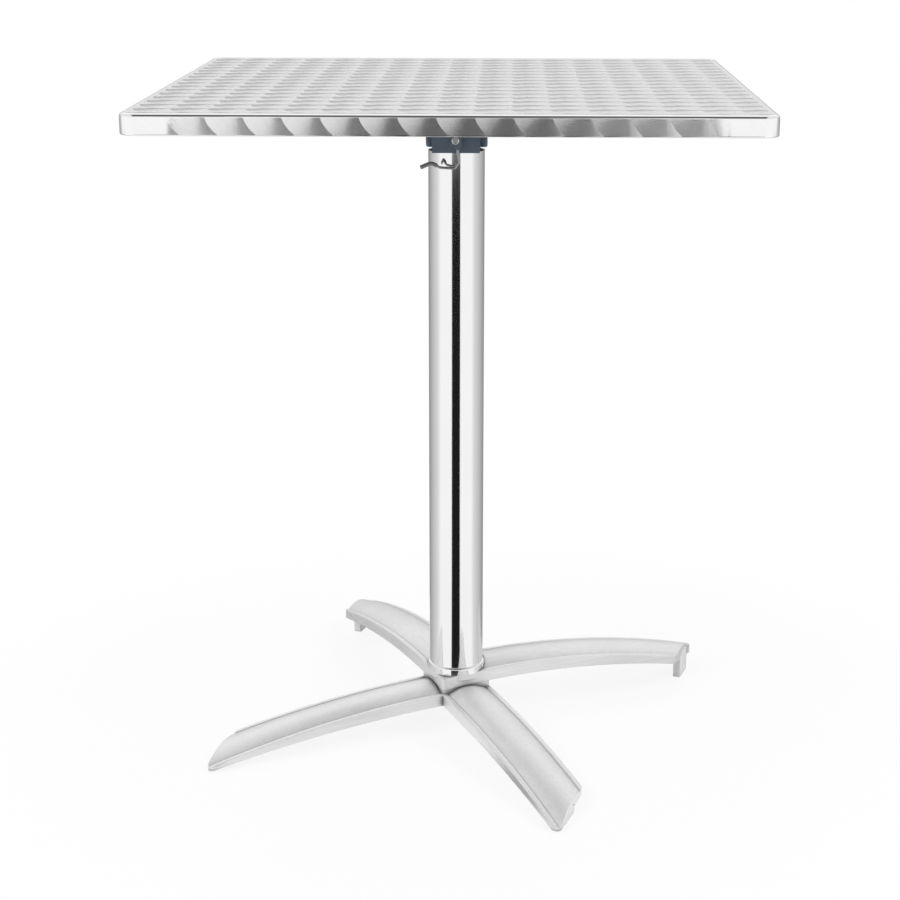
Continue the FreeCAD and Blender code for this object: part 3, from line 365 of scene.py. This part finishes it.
def swirl_steel():
    finish = Finish("swirl_steel")
    place = finish.place()
    normal = finish.node("ShaderNodeTexCoord", output="Normal")
    x, y, z = finish.split(place)
    normal_x, normal_y, normal_z = finish.split(normal)
    below = TOP_LEVEL - z
    across, away = disc_place(finish, x + below * normal_x, y + below * normal_y)
    radius = (across * across + away * away).root() + RING_HEART
    flat_ray = finish.vector(across / radius, away / radius, 0.0)
    ray = ray_on_sheet(finish, flat_ray, normal, normal_z)
    skirt = 1 - finish.ease(normal_z, *SKIRT_SLOPE)
    upright = skirt * finish.ease(normal_z, *LIP_SLOPE)
    rim = rim_mask(finish, abs(x), abs(y), skirt)
    bend = rim * (1 - finish.ease(normal_z, *BEND_SLOPE))
    corner = corner_mask(finish, abs(x), abs(y), upright)
    tilt = ring_saw(finish, place, radius) * RING_TILT * (1 - rim - corner)
    tilted = finish.vector_math("ADD", normal, finish.scaled(ray, tilt))
    turned = finish.node("ShaderNodeVectorTransform", INTO_WORLD, {0: tilted})
    rings = finish.vector(radius * SCRATCHES_ACROSS, across * SCRATCHES_ALONG, away * SCRATCHES_ALONG)
    scratch = finish.noise(rings, 1.0)
    steel = finish.mix_colour(scratch, STEEL_DARK, STEEL_LIGHT)
    rough = GROUND_ROUGHNESS + scratch * SCRATCH_ROUGHNESS + rim * RIM_ROUGHNESS + skirt * SKIRT_ROUGHNESS
    finish.surface(
        base_color=finish.mix_colour(rim, steel, STEEL_LIGHT), metallic=1.0,
        normal=finish.vector_math("NORMALIZE", turned),
        roughness=finish.pick(bend + corner, rough, BUFFED_ROUGHNESS))
    return finish


swirl_steel().dress("top_sheet")

# %% [markdown]
# The polished column
#
# The column is a drawn aluminium tube, polished and clear anodised. Its mirror stays sharp round the tube,
# while faint draw lines run along it. A plain low roughness would look like plated steel, so a noise that is
# stretched along the length varies the roughness and leans the normal a little.

# %% Column and collar
DRAW_LINES_ROUND = 900.0
DRAW_LINES_ALONG = 3.0
DRAW_LINE_DEPTH = 0.01 * MM
DRAW_LINE_STRENGTH = 0.4
DRAW_LINE_ROUGHNESS = 0.07
COLUMN_ROUGHNESS = 0.05
COLUMN_CLOUD = 9.0
COLUMN_DARK = (0.87, 0.86, 0.87, 1.0)
COLUMN_LIGHT = (0.93, 0.93, 0.93, 1.0)


def polished_aluminium():
    finish = Finish("polished_aluminium")
    x, y, z = finish.split(finish.place())
    round_tube = finish.vector(x * DRAW_LINES_ROUND, y * DRAW_LINES_ROUND, z * DRAW_LINES_ALONG)
    lines = finish.noise(round_tube, 1.0)
    cloud = finish.noise(finish.place(), COLUMN_CLOUD)
    finish.surface(
        base_color=finish.mix_colour(cloud, COLUMN_DARK, COLUMN_LIGHT), metallic=1.0,
        roughness=COLUMN_ROUGHNESS + lines * DRAW_LINE_ROUGHNESS,
        normal=finish.bump(lines, DRAW_LINE_DEPTH, DRAW_LINE_STRENGTH))
    return finish


polished_aluminium().dress("column_tube", "column_collar")

# %% [markdown]
# The cast feet
#
# The feet are aluminium castings, ground and satin polished along each leg. They are softer than the column:
# reflections smear and fine streaks run along the legs. The grooves and the tight corners get painted shade.
# It could be painted by hand on the mesh. An Ambient Occlusion node finds these places instead, wherever the
# next face is close by, and darkens the base colour there. A Bevel node breaks the sharp edges of the casting
# for the light.

# %% Streaks along the legs
RIGHT_LEG_ANGLE = math.radians(26.0)
STREAKS_ACROSS = 1700.0
STREAKS_ALONG = 10.0


def along_leg(finish, place):
    """Noise coordinates that are stretched along whichever leg the point lies on."""
    x, y, z = finish.split(place)
    ahead = x * math.cos(RIGHT_LEG_ANGLE) + y * math.sin(RIGHT_LEG_ANGLE)
    beside = y * math.cos(RIGHT_LEG_ANGLE) - x * math.sin(RIGHT_LEG_ANGLE)
    other = abs(beside) > abs(ahead)
    along = finish.pick(other, ahead, beside)
    across = finish.pick(other, beside, ahead)
    return finish.vector(along * STREAKS_ALONG, across * STREAKS_ACROSS, z * STREAKS_ACROSS)


print("streaks run along legs at", round(math.degrees(RIGHT_LEG_ANGLE)), "degrees and square to that")

# %% Castings
CAST_GRAIN = 600.0
CAST_GRAIN_DETAIL = 4.0
CAST_GRAIN_SHARE = 0.5
CAST_CLOUD = 24.0
CAST_DETAIL = 3.0
CLOUD_SHARE = 0.4
STREAK_SHARE = 0.6
STREAK_RANGE = (0.25, 0.75)
CAST_EDGE = 0.8 * MM
CAST_RELIEF = 0.03 * MM
CAST_RELIEF_STRENGTH = 0.5
# Painted shade: the base colour of grooves and tight corners is darkened where faces lie close by
CREVICE_SHADE_SAMPLES = 8
CREVICE_SHADE_REACH = 8.0 * MM
CREVICE_SHADE_RANGE = (0.46, 0.96)
CREVICE_SHADE_GREY = grey(0.20)
CAST_DARK = grey(0.69)
CAST_LIGHT = grey(0.91)
CAST_METALLIC = 0.6
CAST_ROUGHNESS = 0.36
CAST_TONE_ROUGHNESS = 0.2


def cast_aluminium():
    finish = Finish("cast_aluminium")
    place = finish.place()
    grain = finish.noise(place, CAST_GRAIN, CAST_GRAIN_DETAIL)
    cloud = finish.noise(place, CAST_CLOUD, CAST_DETAIL)
    streak = finish.noise(along_leg(finish, place), 1.0, CAST_DETAIL)
    tone = cloud * CLOUD_SHARE + finish.ease(streak, *STREAK_RANGE) * STREAK_SHARE
    search = {"samples": CREVICE_SHADE_SAMPLES}
    # Painted shade: the base colour turns dark grey where the Ambient Occlusion search finds faces close by
    unshaded = finish.node("ShaderNodeAmbientOcclusion", search, {"Distance": CREVICE_SHADE_REACH}, output="AO")
    metal = finish.mix_colour(tone, CAST_DARK, CAST_LIGHT)
    relief = grain * CAST_GRAIN_SHARE + streak
    finish.surface(
        base_color=finish.mix_colour(finish.ease(unshaded, *CREVICE_SHADE_RANGE), CREVICE_SHADE_GREY, metal),
        metallic=CAST_METALLIC, roughness=CAST_ROUGHNESS + tone * CAST_TONE_ROUGHNESS,
        normal=finish.bump(relief, CAST_RELIEF, CAST_RELIEF_STRENGTH, Normal=finish.soft_edge(CAST_EDGE)))
    return finish


cast_aluminium().dress("upper_legs", "lower_legs")

# %% [markdown]
# The flip head
#
# The head, bracket and latch are castings and pressings under a slate-coloured powder coat with a fine
# orange-peel skin. One flat colour would look like plastic. So a soft cloud of noise varies the colour and
# the roughness together, which most of the smaller finishes need too, and a fine bump makes the skin.

# %% Slate paint
CLOUD_DETAIL = 3.0
SKIN_STRENGTH = 0.5
PAINT_PEEL = 1400.0
PEEL_DEPTH = 0.04 * MM
PAINT_EDGE = 0.6 * MM


def mottled(name, scale, dark, light, roughness, spread, metallic=0.0):
    """A finish whose colour and roughness drift together with one cloud of noise."""
    finish = Finish(name)
    cloud = finish.noise(finish.place(), scale, CLOUD_DETAIL)
    finish.surface(
        base_color=finish.mix_colour(cloud, dark, light), metallic=metallic,
        roughness=roughness + cloud * spread)
    return finish


def slate_paint():
    finish = mottled(
        "slate_paint", scale=60.0, dark=(0.090, 0.126, 0.166, 1.0), light=(0.116, 0.158, 0.204, 1.0),
        roughness=0.36, spread=0.12)
    peel = finish.noise(finish.place(), PAINT_PEEL)
    finish.surface(normal=finish.bump(peel, PEEL_DEPTH, SKIN_STRENGTH, Normal=finish.soft_edge(PAINT_EDGE)))
    return finish


slate_paint().dress("flip_bracket", "column_head", "latch_pawl", "keeper")

# %% [markdown]
# Fasteners and wire
#
# The screws, bolts, nuts and the tie rod are bright zinc plate, which is cloudy close up. The lever and its
# spring are bent from dark wire. A scratched steel could be built for each, but most of these pieces are only
# a few millimetres thick. So both are metal with a cloud of noise and nothing else.

# %% Zinc plate and wire
zinc_steel = mottled(
    "zinc_steel", scale=300.0, dark=(0.72, 0.73, 0.75, 1.0), light=(0.88, 0.88, 0.88, 1.0),
    roughness=0.2, spread=0.15, metallic=1.0)
zinc_steel.dress("bracket_screws", "keeper_screws", "pivot_bolt", "pivot_washer", "pivot_nut", "lever_screw",
                 "tie_rod", "rod_washers", "rod_nuts", "hub_dowels")


def dark_wire(name, dark, light):
    return mottled(name, scale=500.0, dark=dark, light=light, roughness=0.28, spread=0.16, metallic=0.7)


dark_wire("lever_wire", grey(0.34), grey(0.48)).dress("release_lever")
SPRING_FINISH = dark_wire("spring_wire", grey(0.25), grey(0.38))
SPRING_FINISH.dress("lever_spring")

# %% [markdown]
# Nylon, rubber and backing
#
# The pads under the legs and the bushes are moulded nylon, the stops and the lever's sleeve are rubber, and
# the board has a dark backing sheet. Each could have a function of its own, but they differ in colour and
# gloss only. So one function makes them all, with a fine grain like that of a mould.

# %% Moulded pieces
MOULD_GRAIN = 1800.0
MOULD_DEPTH = 0.03 * MM


def moulded(name, dark, light, roughness):
    finish = mottled(name, scale=120.0, dark=dark, light=light, roughness=roughness, spread=0.12)
    grain = finish.noise(finish.place(), MOULD_GRAIN)
    finish.surface(normal=finish.bump(grain, MOULD_DEPTH, SKIN_STRENGTH))
    return finish


foot_nylon = moulded("foot_nylon", grey(0.70), grey(0.78), roughness=0.4)
foot_nylon.dress("foot_right", "foot_back", "foot_left", "foot_front")
bush_nylon = moulded("bush_nylon", (0.74, 0.73, 0.68, 1.0), (0.82, 0.81, 0.77, 1.0), roughness=0.4)
bush_nylon.dress("pivot_bushes")
moulded("stop_rubber", grey(0.02), grey(0.035), roughness=0.6).dress("stop_buffers")
moulded("sleeve_rubber", grey(0.17), grey(0.23), roughness=0.35).dress("lever_sleeve")
moulded("backing", grey(0.14), grey(0.19), roughness=0.5).dress("top_underside")

# %% [markdown]
# The board in the pan
#
# The steel pan is filled with a particle board, which is hidden unless the underside is taken off. Its chips
# could be a photo texture. Cells of a Voronoi texture do as well here: each cell has a random colour, and the
# mean of that colour's three parts sets how light its chip is.

# %% Particle board
CHIP_SCALE = 420.0
EQUAL_SHARES = (0.33, 0.33, 0.33)
CHIP_DARK = (0.30, 0.19, 0.10, 1.0)
CHIP_LIGHT = (0.56, 0.42, 0.26, 1.0)
BOARD_ROUGHNESS = 0.7
CHIP_ROUGHNESS = 0.2


def particle_board():
    finish = Finish("particle_board")
    cells = {"Vector": finish.place(), "Scale": CHIP_SCALE}
    chips = finish.node("ShaderNodeTexVoronoi", inputs=cells, output="Color")
    tone = finish.vector_math("DOT_PRODUCT", chips, EQUAL_SHARES, output="Value")
    finish.surface(
        base_color=finish.mix_colour(tone, CHIP_DARK, CHIP_LIGHT),
        roughness=BOARD_ROUGHNESS + tone * CHIP_ROUGHNESS)
    return finish


particle_board().dress("top_core")

# %% [markdown]
# The lever's return spring
#
# Behind the latch plate a thin wire is wound two and a half turns round the lever's screw. One end sits in
# the wall of the head and the other hooks into the latch plate. A Screw modifier could wind the coil, but the
# two straight legs would then be loose pieces. Here the centre line is worked out point by point, and each
# corner of a leg is rounded to a bend. All places are counted from the latch's pivot.

# %% The spring's centre line
LATCH_PIVOT = Vector(next(joint["pos_m"] for joint in frame["joints"] if joint["name"] == "lever_swing"))
COIL_RADIUS = 4.4 * MM
COIL_PITCH = 1.45 * MM
COIL_TURNS = 2.5
COIL_STEPS = 90
COIL_BACK = 6.55 * MM
LEG_BEND = 1.5 * MM
BEND_STEPS = 8
WALL_END = Vector((4.4, 10.5, -7.0)) * MM
WALL_FOOT = Vector((4.4, 6.92, -7.0)) * MM
PLATE_KNEE = Vector((-4.4, 2.66, -5.0)) * MM
PLATE_ELBOW = Vector((-2.5, 2.66, -7.8)) * MM
PLATE_END = Vector((-2.5, -1.0, -7.8)) * MM


def coil_point(turns):
    angle = 2 * math.pi * turns
    away = COIL_BACK - COIL_PITCH * turns
    return Vector((COIL_RADIUS * math.cos(angle), away, COIL_RADIUS * math.sin(angle)))


def rounded(before, corner, after):
    """Points of a bend that takes the place of a corner."""
    way_in = (corner - before).normalized()
    way_out = (after - corner).normalized()
    reach = LEG_BEND * math.tan(way_in.angle(way_out) / 2)
    start, end = corner - way_in * reach, corner + way_out * reach
    shares = [step / BEND_STEPS for step in range(BEND_STEPS + 1)]
    return [start * (1 - s) ** 2 + corner * 2 * s * (1 - s) + end * s ** 2 for s in shares]


def spring_line():
    coil = [coil_point(COIL_TURNS * step / COIL_STEPS) for step in range(COIL_STEPS + 1)]
    wall_leg = [WALL_END] + rounded(WALL_END, WALL_FOOT, coil[0])
    plate_leg = rounded(coil[-1], PLATE_KNEE, PLATE_ELBOW)
    plate_leg += rounded(PLATE_KNEE, PLATE_ELBOW, PLATE_END) + [PLATE_END]
    return [LATCH_PIVOT + point for point in wall_leg + coil + plate_leg]


print("points on the spring's line:", len(spring_line()))

# %% [markdown]
# Wire from a line
#
# A curve with a round bevel turns that line into wire, and its mesh is kept. The frame's own spring is one
# stiff piece, which couldn't follow both ends. This wire is a fixed piece too: it takes that spring's place,
# and that spring is hidden.

# %% Wind the spring
WIRE_DIAMETER = 1.0 * MM
WIRE_SMOOTHNESS = 3


def bent_wire(name, points, diameter):
    """A round wire along these points, as a mesh."""
    data = bpy.data.curves.new(name, "CURVE")
    data.dimensions = "3D"
    data.bevel_depth = diameter / 2
    data.bevel_resolution = WIRE_SMOOTHNESS
    data.use_fill_caps = True
    line = data.splines.new("POLY")
    line.points.add(len(points) - 1)
    for knot, point in zip(line.points, points):
        knot.co = (*point, 1.0)
    curve = bpy.data.objects.new(name, data)
    mesh = bpy.data.meshes.new_from_object(curve)
    bpy.data.objects.remove(curve)
    mesh.shade_smooth()
    wire = bpy.data.objects.new(name, mesh)
    bpy.context.scene.collection.objects.link(wire)
    return wire


def wind_spring():
    spring = bent_wire("return_spring", spring_line(), WIRE_DIAMETER)
    spring.data.materials.append(SPRING_FINISH.material)
    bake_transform(spring)
    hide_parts("lever_spring")
    print("spring wire with", len(spring.data.vertices), "vertices")


wind_spring()

# %% [markdown]
# The room that metal mirrors
#
# Bright metal shows what stands round it, so the studio is part of the look. Tables like this are shot in a
# white room, and every dark line on the metal is something that isn't white. Walls could be built, but it is
# simpler to paint the world for mirror rays: white behind the table, a little greyer at the sides so that the
# top doesn't wash out there, grey low down behind, and a dark bank over the camera that draws the line along
# the front bend. Rays that carry soft light get one plain level, and the camera sees plain white.

# %% Room seen by reflections
AMBIENT = 0.55
ROOM_WHITE = 1.0
SIDE_WALL = 0.78
BACK_CORE = math.cos(math.radians(25.0))
BACK_EDGE = math.cos(math.radians(50.0))
HORIZON_GREY = 0.48
HORIZON_HEIGHT = (0.18, 0.34)
HORIZON_BEHIND = (0.1, 0.5)
BANK_GREY = 0.12
BANK_SIDE = (0.25, 0.40)
BANK_HEIGHT = (0.42, 0.52)
BANK_BACK = (-0.06, 0.06)


def ray_is(graph, *kinds):
    """1 for rays of any of these kinds."""
    found = graph.node("ShaderNodeLightPath", output=kinds[0])
    for kind in kinds[1:]:
        found = found.math("MAXIMUM", found, graph.node("ShaderNodeLightPath", output=kind))
    return found


def mirrored_room(graph):
    """How bright a mirror ray finds the room, from the way that it points."""
    x, y, z = graph.split(graph.node("ShaderNodeTexCoord", output="Generated"))
    above = graph.ease(z, *HORIZON_HEIGHT)
    low_behind = graph.ease(y, *HORIZON_BEHIND) * (1 - above)
    bank = graph.ease(z, *BANK_HEIGHT) * (1 - graph.ease(abs(x), *BANK_SIDE))
    bank = bank * (1 - graph.ease(y, *BANK_BACK))
    behind = graph.ease(y / (x * x + y * y).root(), BACK_EDGE, BACK_CORE)
    wall = ROOM_WHITE - above * (1 - behind) * (ROOM_WHITE - SIDE_WALL)
    return graph.pick(bank, graph.pick(low_behind, wall, HORIZON_GREY), BANK_GREY)


def paint_room():
    world = bpy.data.worlds.new("studio")
    bpy.context.scene.world = world
    world.use_nodes = True
    graph = Graph(world.node_tree)
    world.node_tree.nodes.clear()
    mirrored = mirrored_room(graph)
    seen = graph.pick(ray_is(graph, "Is Camera Ray", "Is Transmission Ray"), AMBIENT, ROOM_WHITE)
    level = graph.pick(ray_is(graph, "Is Glossy Ray"), seen, mirrored)
    shade = graph.node("ShaderNodeBackground", inputs={"Color": grey(1.0), "Strength": level})
    graph.node("ShaderNodeOutputWorld", inputs={"Surface": shade})
    print("room painted with", len(world.node_tree.nodes), "nodes")


paint_room()

# %% [markdown]
# The floor
#
# In the photograph the table stands on plain white. A lit plane would come out grey, so the camera sees
# mostly white here, with a share of the lit paper near the feet for a faint shadow. Mirror rays see something
# else: a black wedge towards the camera, which is the dark stripe down the column and the dark middle of the
# front edge, and a floor that greys round to the back. From below the floor is clear, so that the underside
# of the table can be looked at.

# %% What mirrors see of the floor
WEDGE_HALF = math.radians(17.0)
WEDGE_SOFT = math.radians(1.5)
WEDGE_START = (0.10, 0.20)
WEDGE_END = (4.9, 5.5)
SIDE_START = math.radians(64.0)
SIDE_KNEE = math.radians(86.0)
SIDE_END = math.radians(150.0)
SIDE_DROP = 0.28
BACK_DROP = 0.42


def mirrored_dark(finish, x, y, reach):
    """How dark reflections find the floor: black towards the camera, greying round to the back."""
    angle = abs(x.math("ARCTAN2", x, 0 - y))
    wedge = 1 - finish.ease(angle, WEDGE_HALF - WEDGE_SOFT, WEDGE_HALF + WEDGE_SOFT)
    wedge = wedge * (1 - finish.ease(reach, *WEDGE_END))
    ends = {"Value": angle, "From Min": SIDE_KNEE, "From Max": SIDE_END}
    back = finish.node("ShaderNodeMapRange", inputs=ends)
    round_back = finish.ease(angle, SIDE_START, SIDE_KNEE) * SIDE_DROP + back * BACK_DROP
    return (wedge + round_back) * finish.ease(reach, *WEDGE_START)


print("dark wedge", round(math.degrees(2 * WEDGE_HALF)), "degrees wide, to", WEDGE_END[0], "m")

# %% Lay the floor
FLOOR_SIZE = 12.0
PAPER_GREY = grey(0.8)
PAPER_ROUGHNESS = 0.9
WEDGE_BLACK = grey(0.012)
SHADOW_REACH = (0.30, 0.75)
SHADOW_WHITE = 0.86


def floor_paper():
    finish = Finish("floor_paper")
    x, y, _ = finish.split(finish.place())
    reach = (x * x + y * y).root()
    finish.surface(base_color=PAPER_GREY, roughness=PAPER_ROUGHNESS)
    paper = Socket(finish, finish.shader.outputs[0])
    white = finish.glow(grey(1.0))
    clean = finish.pick(finish.ease(reach, *SHADOW_REACH), SHADOW_WHITE, 1.0)
    shown = clean * ray_is(finish, "Is Camera Ray", "Is Transmission Ray")
    lit = finish.mix_shader(shown, paper, white)
    mirrored = finish.mix_shader(mirrored_dark(finish, x, y, reach), white, finish.glow(WEDGE_BLACK))
    both = finish.mix_shader(ray_is(finish, "Is Glossy Ray"), lit, mirrored)
    from_below = finish.node("ShaderNodeNewGeometry", output="Backfacing")
    finish.cover(finish.mix_shader(from_below, both, finish.node("ShaderNodeBsdfTransparent")))
    return finish


def lay_floor():
    bpy.ops.mesh.primitive_plane_add(size=FLOOR_SIZE)
    floor = bpy.context.object
    floor.name = "floor"
    floor.data.materials.append(floor_paper().material)
    print("floor", FLOOR_SIZE, "m square")


lay_floor()

# %% [markdown]
# A card before the table
#
# Photographers hold a card beside the camera to darken what would mirror only white. This one stands before
# the table, is grey in the middle and fades to white at its sides, and is seen by mirror rays alone. A hard
# edge would show in the metal as a line, so the fade is a mix of the grey paper and a white glow.

# %% Stand the card
CARD_HALF_WIDTH = 0.32
CARD_CORE = 0.05
CARD_LOW = 0.53
CARD_HIGH = 1.15
CARD_AWAY = -1.0
CARD_GREY = grey(0.32)


def card_paper():
    finish = Finish("black_card")
    x, _, _ = finish.split(finish.place())
    finish.surface(base_color=CARD_GREY, roughness=1.0)
    dark = Socket(finish, finish.shader.outputs[0])
    fade = finish.ease(abs(x), CARD_CORE, CARD_HALF_WIDTH)
    finish.cover(finish.mix_shader(fade, dark, finish.glow(grey(1.0))))
    return finish


def stand_card():
    corners = [(-1, CARD_LOW), (1, CARD_LOW), (1, CARD_HIGH), (-1, CARD_HIGH)]
    mesh = bpy.data.meshes.new("black_card")
    mesh.from_pydata([(side * CARD_HALF_WIDTH, CARD_AWAY, z) for side, z in corners], [], [(0, 1, 2, 3)])
    card = bpy.data.objects.new("black_card", mesh)
    bpy.context.scene.collection.objects.link(card)
    card.visible_camera = card.visible_diffuse = card.visible_shadow = card.visible_transmission = False
    mesh.materials.append(card_paper().material)
    print("card", 2 * CARD_HALF_WIDTH, "m wide, from", CARD_LOW, "to", CARD_HIGH, "m up")


stand_card()

# %% [markdown]
# Lamps
#
# Three large soft lamps shade what isn't a mirror: the paint, the castings, the nylon and the paper. Small
# lamps would cast hard shadows, which the photograph doesn't have. Mirror rays don't see the lamps, because a
# square light in the column or the top would spoil the painted room.

# %% Hang the lamps
LAMP_AIM = Vector((0.0, 0.0, 0.35))
LAMPS = {
    "left_softbox": ((-2.2, -1.6, 2.6), 2.2, 70.0),
    "right_softbox": ((2.4, -1.0, 2.2), 2.0, 45.0),
    "back_softbox": ((0.2, 2.4, 2.8), 2.4, 25.0),
}


def hang_lamps():
    for name, (place, size, watts) in LAMPS.items():
        data = bpy.data.lights.new(name, "AREA")
        data.size = size
        data.energy = watts
        lamp = bpy.data.objects.new(name, data)
        bpy.context.scene.collection.objects.link(lamp)
        lamp.location = place
        lamp.rotation_euler = (LAMP_AIM - lamp.location).to_track_quat("-Z", "Y").to_euler()
        lamp.visible_glossy = False
        print(name, size, "m wide,", watts, "W")


hang_lamps()

# %% [markdown]
# The camera
#
# The photograph's camera was worked out from the table itself: the edges of the top, the column and the feet
# fix where it stood, how far it looked down and its lens. A camera could be placed by eye, but then the
# shapes couldn't be compared with the photograph. The Standard view transform shows colours as written.

# %% Camera
CAMERA_PLACE = (0.0568, -2.0514, 0.9175)
CAMERA_YAW = math.radians(-1.78)
CAMERA_PITCH = math.radians(16.27)
CAMERA_LENS = 77.29
SENSOR = 36.0


def set_camera():
    data = bpy.data.cameras.new("camera")
    data.sensor_width = SENSOR
    data.lens = CAMERA_LENS
    camera = bpy.data.objects.new("camera", data)
    bpy.context.scene.collection.objects.link(camera)
    camera.location = CAMERA_PLACE
    camera.rotation_euler = (math.pi / 2 - CAMERA_PITCH, 0.0, -CAMERA_YAW)
    bpy.context.scene.camera = camera
    print("camera at", CAMERA_PLACE, "with a lens of", CAMERA_LENS, "mm")


set_camera()
bpy.context.scene.view_settings.view_transform = "Standard"
